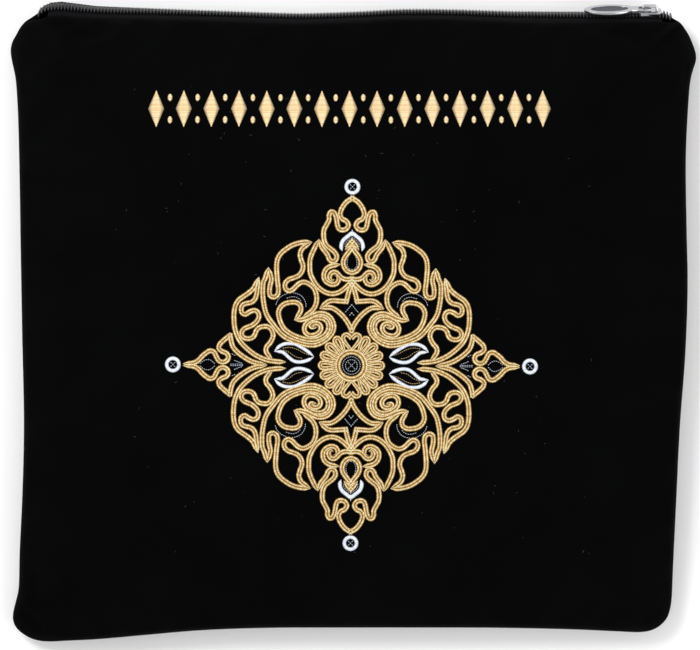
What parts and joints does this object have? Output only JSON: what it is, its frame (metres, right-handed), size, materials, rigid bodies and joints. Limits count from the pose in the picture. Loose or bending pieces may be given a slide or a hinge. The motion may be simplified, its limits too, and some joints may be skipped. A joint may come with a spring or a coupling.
{
  "type": "tallit bag",
  "caption": "Flat velvet pouch for a prayer shawl, zipped along the top, with a couched gold braid medallion and a row of stitched lozenges on its front.",
  "frame": {"origin": "on the surface that the bag lies on, under the middle of its outline", "axes": "+X along the zip towards its slider end, +Y towards the zip, +Z out of the embroidered front"},
  "size_m": [0.3628, 0.3398, 0.0474],
  "materials": {
    "velvet": "black velvet pile",
    "tape": "woven black tape",
    "coil": "black monofilament coil",
    "chrome": "plated zinc casting",
    "gold_thread": "metallic gold braid",
    "white_thread": "white satin thread"
  },
  "bodies": {
    "bag": {"front_panel": "velvet", "back_panel": "velvet", "zip_tape_front": "tape", "zip_tape_back": "tape", "zip_coil": "coil", "coil_end_front": "coil", "coil_end_back": "coil", "zip_slider": "chrome", "lozenge_01": "gold_thread", "lozenge_02": "gold_thread", "lozenge_03": "gold_thread", "lozenge_04": "gold_thread", "lozenge_05": "gold_thread", "lozenge_06": "gold_thread", "lozenge_07": "gold_thread", "lozenge_08": "gold_thread", "lozenge_09": "gold_thread", "lozenge_10": "gold_thread", "lozenge_11": "gold_thread", "lozenge_12": "gold_thread", "lozenge_13": "gold_thread", "lozenge_14": "gold_thread", "lozenge_15": "gold_thread", "heart_top": "gold_thread", "heart_bottom": "gold_thread", "scroll_left_upper": "gold_thread", "scroll_right_upper": "gold_thread", "scroll_right_lower": "gold_thread", "scroll_left_lower": "gold_thread", "spray_left": "gold_thread", "spray_right": "gold_thread", "point_left": "gold_thread", "point_right": "gold_thread", "rosette_braid": "gold_thread", "leaf_left_upper": "white_thread", "leaf_right_upper": "white_thread", "leaf_right_lower": "white_thread", "leaf_left_lower": "white_thread", "crescent_top": "white_thread", "crescent_bottom": "white_thread", "compass_ring_top": "white_thread", "compass_ring_right": "white_thread", "compass_ring_bottom": "white_thread", "compass_ring_left": "white_thread"},
    "pull": {"zip_pull": "chrome"}
  },
  "joints": [
    {"name": "pull_swing", "type": "hinge", "parent": "bag", "child": "pull", "pos_m": [0.15651, 0.16578, 0.01831], "axis": [-0.0501, 0.4378, -0.8977], "range_deg": [0, 165]}
  ]
}
